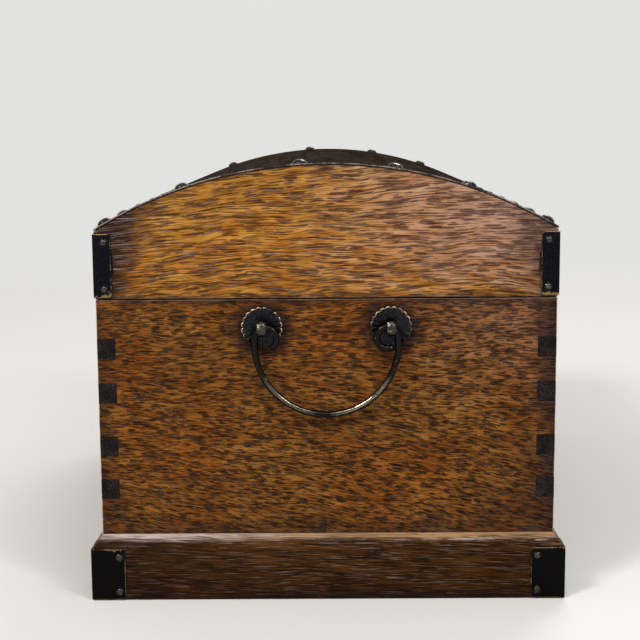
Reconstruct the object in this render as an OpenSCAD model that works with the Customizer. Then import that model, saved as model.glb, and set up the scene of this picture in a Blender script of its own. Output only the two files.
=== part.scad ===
// Small domed treasure chest: boards with finger-jointed corners on a mitred plinth, a coopered
// lid under a nailed cover, wire bail handles on the ends, a lock in front and hinges behind.
// X runs along the length, -Y is the front, +Z is up. The origin is under the middle of the chest.

/* [Body] */
// Length of the body, end to end
body_length = 360; // [300:5:460]
// Depth of the body, front to back
body_depth = 220; // [180:5:280]
// Height of the boards above the plinth
body_height = 115; // [100:5:160]
// Thickness of the body and lid boards
board = 9; // [8.5:0.5:12]
// Thickness of the bottom board
bottom_thickness = 8; // [5:0.5:12]
// Room left round the bottom board for the wood to move
bottom_gap = 0.3; // [0.2:0.1:0.8]
// Fingers in each corner of the body
finger_count = 4; // [2:1:5]
// Height of one finger
finger_height = 10; // [6:0.5:12]

/* [Plinth] */
// Height of the plinth
plinth_height = 32; // [26:1:50]
// How far the plinth stands out from the body
plinth_reveal = 4.5; // [3:0.5:8]
// Height of the sloping top edge of the plinth
plinth_slope = 6; // [4:0.5:8]
// How far the plinth reaches in past the boards
plinth_ledge = 6; // [4:0.5:12]

/* [Lid] */
// Height from the joint to the corner where the dome starts
lid_side_height = 34; // [30:1:45]
// Rise of the dome above that corner
crown_rise = 30.5; // [20:0.5:38]
// Gap between the closed lid and the body
lid_gap = 0.4; // [0.3:0.1:0.8]
// Thickness of the bent cover
cover_thickness = 1; // [0.8:0.1:1.6]
// Gap between the cover and the wood under it
cover_gap = 0.15; // [0.1:0.05:0.25]
// How far the cover stands out past the lid ends
cover_overhang = 0.4; // [0.2:0.1:1]
// Thickness of the staves under the cover
stave_thickness = 7; // [5:0.5:9]

/* [Cover nails] */
// Diameter of a cover nail's head
cover_nail_head = 7; // [5:0.5:8]
// Height of a cover nail's domed head
cover_nail_dome = 2.1; // [1.4:0.1:2.6]
// Diameter of a cover nail's shank
cover_nail_shank = 1.6; // [1.2:0.1:2.2]
// Length of a cover nail's shank
cover_nail_length = 6.5; // [5:0.5:7]
// Spacing of the nails along the front and back edges
edge_nail_spacing = 58; // [40:1:90]

/* [Corner brackets] */
// Thickness of the bracket plate
bracket_plate = 0.8; // [0.5:0.1:1.2]
// Width of each leg of a lid bracket
lid_bracket_leg = 8; // [7:0.5:14]
// Width of each leg of a plinth bracket
plinth_bracket_leg = 16; // [14:0.5:24]
// Diameter of a small nail's head
small_nail_head = 2.6; // [2:0.1:3.2]
// Height of a small nail's head
small_nail_dome = 0.7; // [0.4:0.1:1]
// Diameter of a small nail's shank
small_nail_shank = 1.2; // [0.8:0.1:1.4]
// Length of a small nail's shank
small_nail_length = 6; // [4:0.5:8]

/* [Handles] */
// Distance between the two eyes of a handle
eye_spacing = 61.6; // [50:1:80]
// Depth of the eyes below the lid joint
eye_drop = 13.3; // [12:0.5:30]
// Wire of the bail
bail_wire = 2.8; // [2.4:0.1:3.2]
// Straight stretch of the bail between each curl and the bow
bail_leg = 2.7; // [1:0.1:20]
// Radius of the curl at each end of the bail
curl_radius = 5.2; // [5:0.1:5.8]
// Wire of the eye that the curl hangs in
eye_wire = 1.8; // [1.4:0.1:2]
// Diameter of the rosette behind an eye
rosette_diameter = 20; // [16:0.5:26]
// Thickness of the rosette at its rim
rosette_rim = 2.2; // [1.6:0.1:2.6]
// Thickness of the rosette in the middle of its dish
rosette_middle = 1; // [0.8:0.1:1.4]
// Lobes round the rim of a rosette
rosette_lobes = 20; // [16:1:24]

/* [Hinges] */
// Distance from each end of the body to the middle of the hinge near it
hinge_inset = 70; // [50:5:100]
// Width of a hinge along the joint
hinge_width = 36; // [30:1:50]
// Height of a hinge leaf
leaf_height = 18; // [14:0.5:22]
// Thickness of a hinge leaf
leaf_thickness = 1.2; // [1:0.1:1.4]
// Diameter of the hinge knuckles
knuckle = 5; // [4.6:0.1:5.6]
// Diameter of the hinge pin
hinge_pin = 2.4; // [2:0.1:2.8]
// Angle at which the stops of the hinges meet
open_angle = 105; // [95:1:115]

/* [Lock] */
// Diameter of the round lock plate
lock_diameter = 46; // [40:1:54]
// Thickness of the lock plate
lock_thickness = 1.2; // [1:0.1:1.6]
// Width of the tongue
tongue_width = 9; // [7:0.5:11]
// Height of the tongue's pin above the joint
tongue_rise = 11; // [9:0.5:14]
// Depth of the lock eye below the joint
lock_eye_drop = 13; // [11:0.5:15]
// Diameter of the lock eye, for a padlock or a peg
lock_eye = 4.4; // [3.6:0.1:5]

/* [Hidden] */
$fn = 48;
arc_facets = 360;
past = 1;                          // how far a cut runs past the face that it opens
pin_play = 0.05;                   // radial play of a pin or a nail in its hole
side_play = 0.3;                   // play between pieces that move past each other

half_length = body_length / 2;
half_depth = body_depth / 2;
joint_z = plinth_height + body_height;
lid_z = joint_z + lid_gap;
crown_z = joint_z + lid_side_height + crown_rise;
arc_radius = (half_depth * half_depth + crown_rise * crown_rise) / (2 * crown_rise);
arc_z = crown_z - arc_radius;
wood_radius = arc_radius - cover_thickness - cover_gap;
inner_length = body_length - 2 * board;
inner_depth = body_depth - 2 * board;
plinth_width = plinth_reveal + board + plinth_ledge;
slope_bulge = 0.4;                 // the slope is planed slightly round
slope_steps = 6;

finger_pitch = body_height / (finger_count + 1);
finger_shift = [-0.4, 0.8, -2.4, -0.6, 0.3];   // how far each finger was cut off its even place
lid_finger_z = joint_z + lid_side_height / 2;

stave_count = 6;
stave_half_angle = asin(inner_depth / 2 / wood_radius);
stave_overlap = 3;                 // the outer staves' planes, in degrees past the rails

corner_nail_angle = asin((half_depth - board / 2) / arc_radius);
arc_nail_places = [-1, -0.63, -0.11, 0.3, 0.63, 1];   // hand-set, as shares of the corner angle
edge_nail_gaps = round((body_length - board) / edge_nail_spacing);
nail_point = 1.5;                  // length of a nail's point

lid_bracket_foot = 1.2;            // bare wood left under and over a lid bracket
lid_bracket_head = 2.3;
lid_bracket_height = lid_side_height - lid_bracket_foot - lid_bracket_head;
plinth_bracket_foot = 0.3;
plinth_bracket_head = 0.3;
plinth_bracket_height = plinth_height - plinth_slope - plinth_bracket_foot - plinth_bracket_head;
bracket_nail_end = 4.2;            // from a bracket's end to its nail
bracket_nail_stagger = 3;          // the nails round the corner sit this far apart in height
bracket_nail_edge = 3;             // from a plinth bracket's side edge to its nails

eye_z = joint_z - eye_drop;
eye_play = 0.7;                    // room round the bail's wire in its eye
eye_ring = bail_wire / 2 + eye_play + eye_wire / 2;
eye_out = rosette_middle + eye_ring + eye_wire / 2;
eye_shank = 2.4;
clench_length = 7;
clench_width = 2;
clench_thickness = 1.2;
lobe_fullness = 0.92;              // a lobe's radius as a share of half the pitch of the lobes
lobe_radius = lobe_fullness * PI * rosette_diameter / 2 / rosette_lobes;
dish_edge = 1.6;                   // from the tips of the lobes to the edge of the dish
dish_radius = rosette_diameter / 2 - dish_edge;
dish_foot = 3.5;                   // radius of the flat in the middle of the dish
dish_depth = rosette_rim - rosette_middle;
dish_slope = (dish_radius - dish_foot) / dish_depth;

curl_inset = 1.8;                  // a curl's middle lies this far in from its eye
curl_drop = sqrt(curl_radius * curl_radius - curl_inset * curl_inset);
curl_turn_front = 242;             // how far round each curl is bent
curl_turn_back = 290;
bow_radius = eye_spacing / 2 - curl_inset + curl_radius;
bow_drop = curl_drop + bail_leg;

hinge_place = half_length - hinge_inset;
hinge_y = half_depth + knuckle / 2 + side_play;
hinge_z = joint_z + lid_gap / 2;
knuckle_count = 5;
knuckle_gap = 0.2;
knuckle_pitch = hinge_width / knuckle_count;
leaf_relief = knuckle / 2 + side_play;
stop_drop = knuckle / 2 + 0.5;     // from the pin's axis to the stop faces
stop_reach = 6;
stop_thickness = 2.5;
stop_height = 5;
hinge_nail_inset = 5;
pin_head = 0.6;

lock_lobes = 24;
lock_lobe_radius = lobe_fullness * PI * lock_diameter / 2 / lock_lobes;
lock_ear = 2.5;                    // thickness of an ear
lock_eye_wall = 1.8;
lock_eye_radius = lock_eye / 2 + lock_eye_wall;
lock_eye_out = lock_thickness + 0.5 + lock_eye_radius;
tongue_pin_diameter = 2;
tongue_knuckle = 4.6;
tongue_thickness = 2.2;
tongue_out = lock_thickness + side_play + tongue_knuckle / 2;
tongue_ear = 2.2;
lock_split = 0.3;                  // bare wood between each half plate and the joint
lock_nail_edge = 4;

oak = [0.58, 0.36, 0.16];
dark_oak = [0.4, 0.22, 0.11];
grey_oak = [0.36, 0.3, 0.25];
iron = [0.13, 0.13, 0.12];
old_brass = [0.45, 0.36, 0.2];

// Helpers

// Draws its children at the corner on side sx along X and side sy along Y
module at_corner(sx, sy) {
    flip_x(sx < 0) flip_y(sy < 0) children();
}

module flip_x(on) {
    if (on) mirror([1, 0, 0]) children();
    else children();
}

module flip_y(on) {
    if (on) mirror([0, 1, 0]) children();
    else children();
}

// A box centred on X and Y that stands on z
module block(x, y, z, size) {
    translate([x - size[0] / 2, y - size[1] / 2, z]) cube(size);
}

// A bar along X, centred on X
module bar_x(length, radius) {
    rotate([0, 90, 0]) cylinder(r = radius, h = length, center = true);
}

// A nail with its head on the plane z = 0 and its shank below
module nail(head, dome, shank, length) {
    ball = (head * head / 4 + dome * dome) / (2 * dome);
    intersection() {
        translate([0, 0, dome - ball]) sphere(r = ball);
        cylinder(d = head + past, h = dome + past);
    }
    translate([0, 0, nail_point - length]) cylinder(d = shank, h = length - nail_point + dome / 2);
    translate([0, 0, -length]) cylinder(d1 = shank / 4, d2 = shank, h = nail_point);
}

module nail_hole(shank, length) {
    translate([0, 0, -length - pin_play]) cylinder(d = shank + 2 * pin_play, h = length + past);
}

module cover_nail() {
    nail(cover_nail_head, cover_nail_dome, cover_nail_shank, cover_nail_length);
}

module cover_nail_hole() {
    nail_hole(cover_nail_shank, cover_nail_length);
}

module small_nail() {
    nail(small_nail_head, small_nail_dome, small_nail_shank, small_nail_length);
}

module small_nail_hole() {
    nail_hole(small_nail_shank, small_nail_length);
}

// Plinth: four mitred members, with the slope along the top edge

// A point of the slope's outline, measured from the outer face and from the plinth's top
function slope_point(share) =
    let (across = norm([plinth_reveal, plinth_slope]), bulge = slope_bulge * 4 * share * (1 - share))
    [plinth_reveal * share - bulge * plinth_slope / across,
        plinth_slope * (share - 1) + bulge * plinth_reveal / across];

module plinth_member(length, face) {
    slope = [for (i = [0 : slope_steps]) slope_point(i / slope_steps) + [-face, plinth_height]];
    intersection() {
        rotate([90, 0, 90]) linear_extrude(length, center = true) polygon(concat(
            [[-face, 0]],
            slope,
            [[-face + plinth_width, plinth_height], [-face + plinth_width, 0]]));
        translate([0, 0, -past]) linear_extrude(plinth_height + 2 * past) polygon([
            [-length / 2, -face],
            [length / 2, -face],
            [length / 2 - plinth_width, -face + plinth_width],
            [-length / 2 + plinth_width, -face + plinth_width]]);
    }
}

module plinth_long(side) {
    color(dark_oak) difference() {
        flip_y(side > 0) plinth_member(body_length + 2 * plinth_reveal, half_depth + plinth_reveal);
        at_plinth_bracket_nails() small_nail_hole();
    }
}

module plinth_short(side) {
    color(dark_oak) difference() {
        rotate([0, 0, side > 0 ? 90 : -90])
            plinth_member(body_depth + 2 * plinth_reveal, half_length + plinth_reveal);
        at_plinth_bracket_nails() small_nail_hole();
    }
}

// Corner brackets: plates bent round a corner, with two nails in each leg

module bracket(leg, height, corner_x, corner_y) {
    difference() {
        translate([corner_x - leg, corner_y - leg, 0])
            cube([leg + bracket_plate, leg + bracket_plate, height]);
        translate([corner_x - leg - past, corner_y - leg - past, -past])
            cube([leg + past, leg + past, height + 2 * past]);
    }
}

// Draws its children at the four nails of one bracket, head outwards
module at_bracket_nails(inset, height, corner_x, corner_y) {
    for (z = [bracket_nail_end, height - bracket_nail_end]) {
        shift = z < height / 2 ? bracket_nail_stagger : -bracket_nail_stagger;
        translate([corner_x + bracket_plate, corner_y - inset, z]) rotate([0, 90, 0]) children();
        translate([corner_x - inset, corner_y + bracket_plate, z + shift])
            rotate([-90, 0, 0]) children();
    }
}

module at_plinth_bracket_nails() {
    for (sx = [-1, 1], sy = [-1, 1]) at_corner(sx, sy) translate([0, 0, plinth_bracket_foot])
        at_bracket_nails(plinth_bracket_leg - bracket_nail_edge, plinth_bracket_height,
            half_length + plinth_reveal, half_depth + plinth_reveal) children();
}

module at_lid_bracket_nails() {
    for (sx = [-1, 1], sy = [-1, 1]) at_corner(sx, sy) translate([0, 0, joint_z + lid_bracket_foot])
        at_bracket_nails(board / 2, lid_bracket_height, half_length, half_depth) children();
}

module plinth_bracket(sx, sy) {
    color(iron) difference() {
        at_corner(sx, sy) translate([0, 0, plinth_bracket_foot])
            bracket(plinth_bracket_leg, plinth_bracket_height,
                half_length + plinth_reveal, half_depth + plinth_reveal);
        at_plinth_bracket_nails() small_nail_hole();
    }
}

module plinth_bracket_nails() {
    color(iron) at_plinth_bracket_nails() small_nail();
}

module lid_bracket(sx, sy) {
    color(iron) difference() {
        at_corner(sx, sy) translate([0, 0, joint_z + lid_bracket_foot])
            bracket(lid_bracket_leg, lid_bracket_height, half_length, half_depth);
        at_lid_bracket_nails() small_nail_hole();
    }
}

module lid_bracket_nails() {
    color(iron) at_lid_bracket_nails() small_nail();
}

// Body boards: the front and back boards' fingers show on the ends

function finger_z(i) = joint_z - finger_pitch * (i + 1) + finger_shift[i];
function finger_top(i) = finger_z(i) + finger_height / 2;
function finger_foot(i) = finger_z(i) - finger_height / 2;

// The stretches between the fingers, cut from a long board's ends
module finger_gaps() {
    for (i = [0 : finger_count]) {
        top = i == 0 ? joint_z + past : finger_foot(i - 1);
        foot = i == finger_count ? plinth_height - past : finger_top(i);
        block(0, 0, foot, [board + past, board + 2 * past, top - foot]);
    }
}

module long_board(side) {
    color(oak) difference() {
        block(0, side * (half_depth - board / 2), plinth_height, [body_length, board, body_height]);
        for (sx = [-1, 1])
            translate([sx * (half_length - board / 2 + past / 2), side * (half_depth - board / 2), 0])
                finger_gaps();
        at_hinge_body_nails() small_nail_hole();
        at_lock_body_nails() small_nail_hole();
    }
}

module end_board(side) {
    color(oak) difference() {
        block(side * (half_length - board / 2), 0, plinth_height, [board, body_depth, body_height]);
        for (i = [0 : finger_count - 1], sy = [-1, 1])
            block(side * (half_length - board / 2), sy * (half_depth - board / 2 + past / 2),
                finger_foot(i), [board + 2 * past, board + past, finger_height]);
        at_eye(side) cylinder(d = eye_shank + 2 * pin_play, h = 3 * board, center = true);
    }
}

module bottom_board() {
    color(dark_oak) block(0, 0, plinth_height,
        [inner_length - 2 * bottom_gap, inner_depth - 2 * bottom_gap, bottom_thickness]);
}

// Lid: two arched ends, two rails and six staves, all planed to one arc under the cover

module arc_bar(length, radius) {
    translate([0, 0, arc_z]) rotate([0, 90, 0])
        cylinder(r = radius, h = length, center = true, $fn = arc_facets);
}

module lid_rail(side) {
    color(oak) difference() {
        intersection() {
            block(0, side * (half_depth - board / 2), lid_z,
                [body_length, board, lid_side_height + crown_rise]);
            arc_bar(body_length + 2 * past, wood_radius);
        }
        for (sx = [-1, 1])
            translate([sx * (half_length - board / 2 + past / 2), side * (half_depth - board / 2), 0]) {
                block(0, 0, joint_z - past,
                    [board + past, board + 2 * past, lid_finger_z - finger_height / 2 - joint_z + past]);
                block(0, 0, lid_finger_z + finger_height / 2,
                    [board + past, board + 2 * past, lid_side_height + crown_rise]);
            }
        at_cover_nails() cover_nail_hole();
        at_hinge_lid_nails() small_nail_hole();
        at_lock_lid_nails() small_nail_hole();
    }
}

module lid_end(side) {
    color(oak) difference() {
        intersection() {
            block(side * (half_length - board / 2), 0, lid_z,
                [board, body_depth, lid_side_height + crown_rise]);
            arc_bar(body_length + 2 * past, wood_radius);
        }
        for (sy = [-1, 1])
            block(side * (half_length - board / 2), sy * (half_depth - board / 2 + past / 2),
                lid_finger_z - finger_height / 2, [board + 2 * past, board + past, finger_height]);
        at_cover_nails() cover_nail_hole();
        at_lid_bracket_nails() small_nail_hole();
    }
}

function stave_edge(i) = i == 0 ? -stave_half_angle - stave_overlap
    : i == stave_count ? stave_half_angle + stave_overlap
    : -stave_half_angle + i * 2 * stave_half_angle / stave_count;

// The two corners of a stave's outline on one of its side planes
function stave_corner(angle, radius) = [radius * sin(angle), arc_z + radius * cos(angle)];

module lid_stave(number) {
    inner = wood_radius - stave_thickness;
    outer = wood_radius + 3 * past;
    low = stave_edge(number - 1);
    high = stave_edge(number);
    color(oak) intersection() {
        arc_bar(inner_length, wood_radius);
        block(0, 0, joint_z, [inner_length, inner_depth, lid_side_height + crown_rise]);
        rotate([90, 0, 90]) linear_extrude(inner_length, center = true) polygon([
            stave_corner(low, inner), stave_corner(high, inner),
            stave_corner(high, outer), stave_corner(low, outer)]);
    }
}

module lid_cover() {
    color(grey_oak) difference() {
        intersection() {
            arc_bar(body_length + 2 * cover_overhang, arc_radius);
            block(0, 0, joint_z, [body_length + 4 * past, body_depth, lid_side_height + 2 * crown_rise]);
        }
        arc_bar(body_length + 4 * past, arc_radius - cover_thickness);
        at_cover_nails() cover_nail_hole();
    }
}

// Draws its children on the cover at x, at an angle round the arc
module on_arc(x, angle) {
    translate([x, 0, arc_z]) rotate([-angle, 0, 0]) translate([0, 0, arc_radius]) children();
}

module at_cover_nails() {
    for (sx = [-1, 1], place = arc_nail_places)
        on_arc(sx * (half_length - board / 2), place * corner_nail_angle) children();
    for (i = [1 : edge_nail_gaps - 1], sy = [-1, 1])
        on_arc((i / edge_nail_gaps - 0.5) * (body_length - board), sy * corner_nail_angle) children();
}

module lid_cover_nails() {
    color(iron) at_cover_nails() cover_nail();
}

// Handles: a bail of bent wire whose curls hang in two eyes, each clenched through a rosette

// Draws its children on an end board at both eyes, outwards along local Z
module at_eye(side) {
    for (sy = [-1, 1]) at_one_eye(side, sy) children();
}

module at_one_eye(side, sy) {
    translate([side * half_length, sy * eye_spacing / 2, eye_z]) rotate([0, side * 90, 0]) children();
}

module rosette(side, sy) {
    color(iron) at_one_eye(side, sy) difference() {
        linear_extrude(rosette_rim) {
            circle(r = rosette_diameter / 2 - lobe_radius);
            for (i = [0 : rosette_lobes - 1]) rotate(i * 360 / rosette_lobes)
                translate([rosette_diameter / 2 - lobe_radius, 0]) circle(r = lobe_radius, $fn = 24);
        }
        translate([0, 0, rosette_middle])
            cylinder(r1 = dish_foot, r2 = dish_radius + past * dish_slope, h = dish_depth + past);
        cylinder(d = eye_shank + 2 * pin_play, h = 3 * rosette_rim, center = true);
    }
}

module eye(side, sy) {
    color(iron) at_one_eye(side, sy) {
        translate([0, 0, eye_out]) rotate([90, 0, 0]) rotate_extrude()
            translate([eye_ring, 0]) circle(d = eye_wire, $fn = 24);
        translate([0, 0, -board - clench_thickness])
            cylinder(d = eye_shank, h = board + clench_thickness + rosette_middle + eye_wire / 2);
        block(0, 0, -board - clench_thickness, [2 * clench_length, clench_width, clench_thickness]);
    }
}

module wire_arc(radius, from, turn) {
    rotate([0, 0, from]) rotate_extrude(angle = turn) translate([radius, 0]) circle(d = bail_wire, $fn = 24);
}

// One end of a bail: the straight stretch, then the curl up and over through the eye
module bail_end(turn) {
    translate([bow_radius, -bow_drop, 0]) rotate([-90, 0, 0])
        cylinder(d = bail_wire, h = bail_leg, $fn = 24);
    translate([bow_radius - curl_radius, -curl_drop, 0]) {
        wire_arc(curl_radius, 0, turn);
        rotate([0, 0, turn]) translate([curl_radius, 0, 0]) sphere(d = bail_wire, $fn = 24);
    }
}

module bail(side) {
    color(iron) translate([side * (half_length + eye_out), 0, eye_z]) rotate([90, 0, 90]) {
        translate([0, -bow_drop, 0]) wire_arc(bow_radius, 180, 180);
        bail_end(curl_turn_back);
        mirror([1, 0, 0]) bail_end(curl_turn_front);
    }
}

// Hinges: two leaves with five knuckles between them, and stops that meet when the lid is open

module at_hinge(side) {
    translate([side * hinge_place, hinge_y, hinge_z]) children();
}

// The knuckles with even or odd numbers, each drawn at its own middle
module at_knuckles(first) {
    for (i = [first : 2 : knuckle_count - 1])
        translate([(i + 0.5) * knuckle_pitch - hinge_width / 2, 0, 0]) children();
}

module knuckle_barrel() {
    bar_x(knuckle_pitch - knuckle_gap, knuckle / 2);
}

// The part of a leaf that joins its plate to a knuckle, from the plate's near edge to the joint
module knuckle_web() {
    translate([-(knuckle_pitch - knuckle_gap) / 2, half_depth - hinge_y, lid_gap / 2])
        cube([knuckle_pitch - knuckle_gap, leaf_thickness, leaf_relief]);
}

// The block under a lid knuckle that the knuckle's own stop meets when the lid is open
module body_stop() {
    root = half_depth - hinge_y + leaf_thickness / 2;
    translate([-(knuckle_pitch - knuckle_gap) / 2, root, -stop_drop - knuckle_gap - stop_height])
        cube([knuckle_pitch - knuckle_gap, stop_drop - root, stop_height]);
}

module lid_stop() {
    rotate([open_angle, 0, 0]) translate([-(knuckle_pitch - knuckle_gap) / 2, 0, -stop_drop])
        cube([knuckle_pitch - knuckle_gap, stop_reach, stop_thickness]);
}

module leaf_plate() {
    translate([-hinge_width / 2, half_depth - hinge_y, leaf_relief])
        cube([hinge_width, leaf_thickness, leaf_height]);
}

module pin_bore() {
    bar_x(hinge_width + 2 * past, hinge_pin / 2 + pin_play);
}

module hinge_body_leaf(side) {
    color(iron) difference() {
        at_hinge(side) difference() {
            union() {
                mirror([0, 0, 1]) leaf_plate();
                at_knuckles(0) {
                    knuckle_barrel();
                    mirror([0, 0, 1]) knuckle_web();
                }
                at_knuckles(1) body_stop();
            }
            pin_bore();
        }
        at_hinge_body_nails() small_nail_hole();
    }
}

module hinge_lid_leaf(side) {
    color(iron) difference() {
        at_hinge(side) difference() {
            union() {
                leaf_plate();
                at_knuckles(1) {
                    knuckle_barrel();
                    knuckle_web();
                    lid_stop();
                }
            }
            pin_bore();
        }
        at_hinge_lid_nails() small_nail_hole();
    }
}

module hinge_pin(side) {
    color(iron) at_hinge(side) {
        bar_x(hinge_width + pin_head, hinge_pin / 2);
        for (sx = [-1, 1]) translate([sx * (hinge_width + pin_head) / 2, 0, 0])
            bar_x(pin_head, hinge_pin / 2 + pin_head);
    }
}

module at_leaf_nails() {
    for (side = [-1, 1], sx = [-1, 1], z = [hinge_nail_inset, leaf_height - hinge_nail_inset / 2])
        translate([side * hinge_place + sx * (hinge_width / 2 - hinge_nail_inset / 2 - knuckle_gap),
            half_depth + leaf_thickness, leaf_relief + z]) rotate([-90, 0, 0]) children();
}

module at_hinge_lid_nails() {
    translate([0, 0, hinge_z]) at_leaf_nails() children();
}

module at_hinge_body_nails() {
    translate([0, 0, hinge_z]) mirror([0, 0, 1]) at_leaf_nails() children();
}

module hinge_body_nails() {
    color(iron) at_hinge_body_nails() small_nail();
}

module hinge_lid_nails() {
    color(iron) at_hinge_lid_nails() small_nail();
}

// Lock: a round plate in two halves, a tongue hinged on the upper half, and an eye on the lower
// half that holds the tongue's end between its ears until the peg or padlock is out

// Local Z points out from the front, local Y up, with the joint at zero
module at_lock() {
    translate([0, -half_depth, joint_z]) rotate([90, 0, 0]) children();
}

module lock_disc() {
    cylinder(r = lock_diameter / 2 - lock_lobe_radius, h = lock_thickness);
    for (i = [0 : lock_lobes - 1]) rotate([0, 0, (i + 0.5) * 360 / lock_lobes])
        translate([lock_diameter / 2 - lock_lobe_radius, 0, 0])
            cylinder(r = lock_lobe_radius, h = lock_thickness, $fn = 24);
}

// A lug that stands on the plate and ends round a bore along X
module lug(width, out, radius) {
    translate([0, 0, out]) bar_x(width, radius);
    block(0, 0, 0, [width, 2 * radius, out]);
}

module lock_plate_body() {
    ear_x = (tongue_width + lock_ear) / 2 + side_play;
    color(iron) difference() {
        at_lock() difference() {
            union() {
                intersection() {
                    lock_disc();
                    translate([-lock_diameter, -lock_diameter - lock_split, -past])
                        cube([2 * lock_diameter, lock_diameter, lock_thickness + 2 * past]);
                }
                for (sx = [-1, 1]) translate([sx * ear_x, -lock_eye_drop, 0])
                    lug(lock_ear, lock_eye_out, lock_eye_radius);
            }
            translate([0, -lock_eye_drop, lock_eye_out]) bar_x(lock_diameter, lock_eye / 2);
        }
        at_lock_body_nails() small_nail_hole();
    }
}

module lock_plate_lid() {
    ear_x = (tongue_width + tongue_ear) / 2 + side_play;
    color(iron) difference() {
        at_lock() difference() {
            union() {
                intersection() {
                    lock_disc();
                    translate([-lock_diameter, lid_gap + lock_split, -past])
                        cube([2 * lock_diameter, lock_diameter, lock_thickness + 2 * past]);
                }
                for (sx = [-1, 1]) translate([sx * ear_x, tongue_rise, 0])
                    lug(tongue_ear, tongue_out, tongue_knuckle / 2);
            }
            translate([0, tongue_rise, tongue_out])
                bar_x(lock_diameter, tongue_pin_diameter / 2 + pin_play);
        }
        at_lock_lid_nails() small_nail_hole();
    }
}

module tongue_pin() {
    length = tongue_width + 2 * (side_play + tongue_ear);
    color(iron) at_lock() translate([0, tongue_rise, tongue_out]) {
        bar_x(length + pin_head, tongue_pin_diameter / 2);
        for (sx = [-1, 1]) translate([sx * (length + pin_head) / 2, 0, 0])
            bar_x(pin_head, tongue_pin_diameter / 2 + pin_head);
    }
}

module lock_tongue() {
    color(old_brass) at_lock() difference() {
        union() {
            translate([0, tongue_rise, tongue_out]) bar_x(tongue_width, tongue_knuckle / 2);
            translate([0, -lock_eye_drop, lock_eye_out]) bar_x(tongue_width, lock_eye_radius);
            translate([-tongue_width / 2, -lock_eye_drop, tongue_out - tongue_thickness / 2])
                cube([tongue_width, lock_eye_drop + tongue_rise, tongue_thickness]);
        }
        translate([0, tongue_rise, tongue_out]) bar_x(lock_diameter, tongue_pin_diameter / 2 + pin_play);
        translate([0, -lock_eye_drop, lock_eye_out]) bar_x(lock_diameter, lock_eye / 2);
    }
}

// Nails near the rim of each half plate, as angles from the plate's foot or crown
module at_lock_nails() {
    for (angle = [30, 90, 150])
        rotate([0, 0, angle]) translate([lock_diameter / 2 - lock_nail_edge, 0, lock_thickness]) children();
}

module at_lock_lid_nails() {
    at_lock() at_lock_nails() children();
}

module at_lock_body_nails() {
    at_lock() mirror([0, 1, 0]) at_lock_nails() children();
}

module lock_plate_body_nails() {
    color(iron) at_lock_body_nails() small_nail();
}

module lock_plate_lid_nails() {
    color(iron) at_lock_lid_nails() small_nail();
}

plinth_long(-1);  // plinth_front
plinth_long(1);  // plinth_back
plinth_short(-1);  // plinth_left
plinth_short(1);  // plinth_right
plinth_bracket(-1, -1);  // plinth_bracket_front_left
plinth_bracket(1, -1);  // plinth_bracket_front_right
plinth_bracket(-1, 1);  // plinth_bracket_back_left
plinth_bracket(1, 1);  // plinth_bracket_back_right
plinth_bracket_nails();
bottom_board();
long_board(-1);  // front_board
long_board(1);  // back_board
end_board(-1);  // left_end_board
end_board(1);  // right_end_board
rosette(-1, -1);  // left_rosette_front
rosette(-1, 1);  // left_rosette_back
rosette(1, -1);  // right_rosette_front
rosette(1, 1);  // right_rosette_back
eye(-1, -1);  // left_eye_front
eye(-1, 1);  // left_eye_back
eye(1, -1);  // right_eye_front
eye(1, 1);  // right_eye_back
bail(-1);  // left_bail
bail(1);  // right_bail
hinge_body_leaf(-1);  // hinge_body_leaf_left
hinge_body_leaf(1);  // hinge_body_leaf_right
hinge_pin(-1);  // hinge_pin_left
hinge_pin(1);  // hinge_pin_right
hinge_body_nails();
lock_plate_body();
lock_plate_body_nails();
lid_rail(-1);  // lid_front_rail
lid_rail(1);  // lid_back_rail
lid_end(-1);  // lid_left_end
lid_end(1);  // lid_right_end
lid_stave(1);  // lid_stave_1
lid_stave(2);  // lid_stave_2
lid_stave(3);  // lid_stave_3
lid_stave(4);  // lid_stave_4
lid_stave(5);  // lid_stave_5
lid_stave(6);  // lid_stave_6
lid_cover();
lid_cover_nails();
lid_bracket(-1, -1);  // lid_bracket_front_left
lid_bracket(1, -1);  // lid_bracket_front_right
lid_bracket(-1, 1);  // lid_bracket_back_left
lid_bracket(1, 1);  // lid_bracket_back_right
lid_bracket_nails();
hinge_lid_leaf(-1);  // hinge_lid_leaf_left
hinge_lid_leaf(1);  // hinge_lid_leaf_right
hinge_lid_nails();
lock_plate_lid();
lock_plate_lid_nails();
tongue_pin();
lock_tongue();
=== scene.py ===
import math
import random
from functools import partialmethod

import bpy
from mathutils import Matrix, Vector, noise


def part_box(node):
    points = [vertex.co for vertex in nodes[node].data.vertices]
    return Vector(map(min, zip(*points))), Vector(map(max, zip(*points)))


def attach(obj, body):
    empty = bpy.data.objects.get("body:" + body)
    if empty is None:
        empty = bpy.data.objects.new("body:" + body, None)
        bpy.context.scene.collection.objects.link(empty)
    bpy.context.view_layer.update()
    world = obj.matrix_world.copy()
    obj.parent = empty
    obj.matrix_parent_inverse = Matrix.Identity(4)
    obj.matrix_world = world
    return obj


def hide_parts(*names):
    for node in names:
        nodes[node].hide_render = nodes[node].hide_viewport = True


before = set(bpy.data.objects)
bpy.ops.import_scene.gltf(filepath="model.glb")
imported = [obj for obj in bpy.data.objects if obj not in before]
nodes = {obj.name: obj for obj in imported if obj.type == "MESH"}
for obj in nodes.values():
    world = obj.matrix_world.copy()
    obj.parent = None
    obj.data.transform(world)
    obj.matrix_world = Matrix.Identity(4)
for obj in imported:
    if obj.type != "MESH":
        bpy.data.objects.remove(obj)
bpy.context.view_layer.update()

# An old domed chest of oiled wood with iron fittings, seen from one end.
# Everything is in metres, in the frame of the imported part: +X is the end in the picture, -Y the front.

random.seed(11)
mm = 0.001

class Named(dict):  # named values, read as attributes
    __getattr__ = dict.__getitem__


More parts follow.
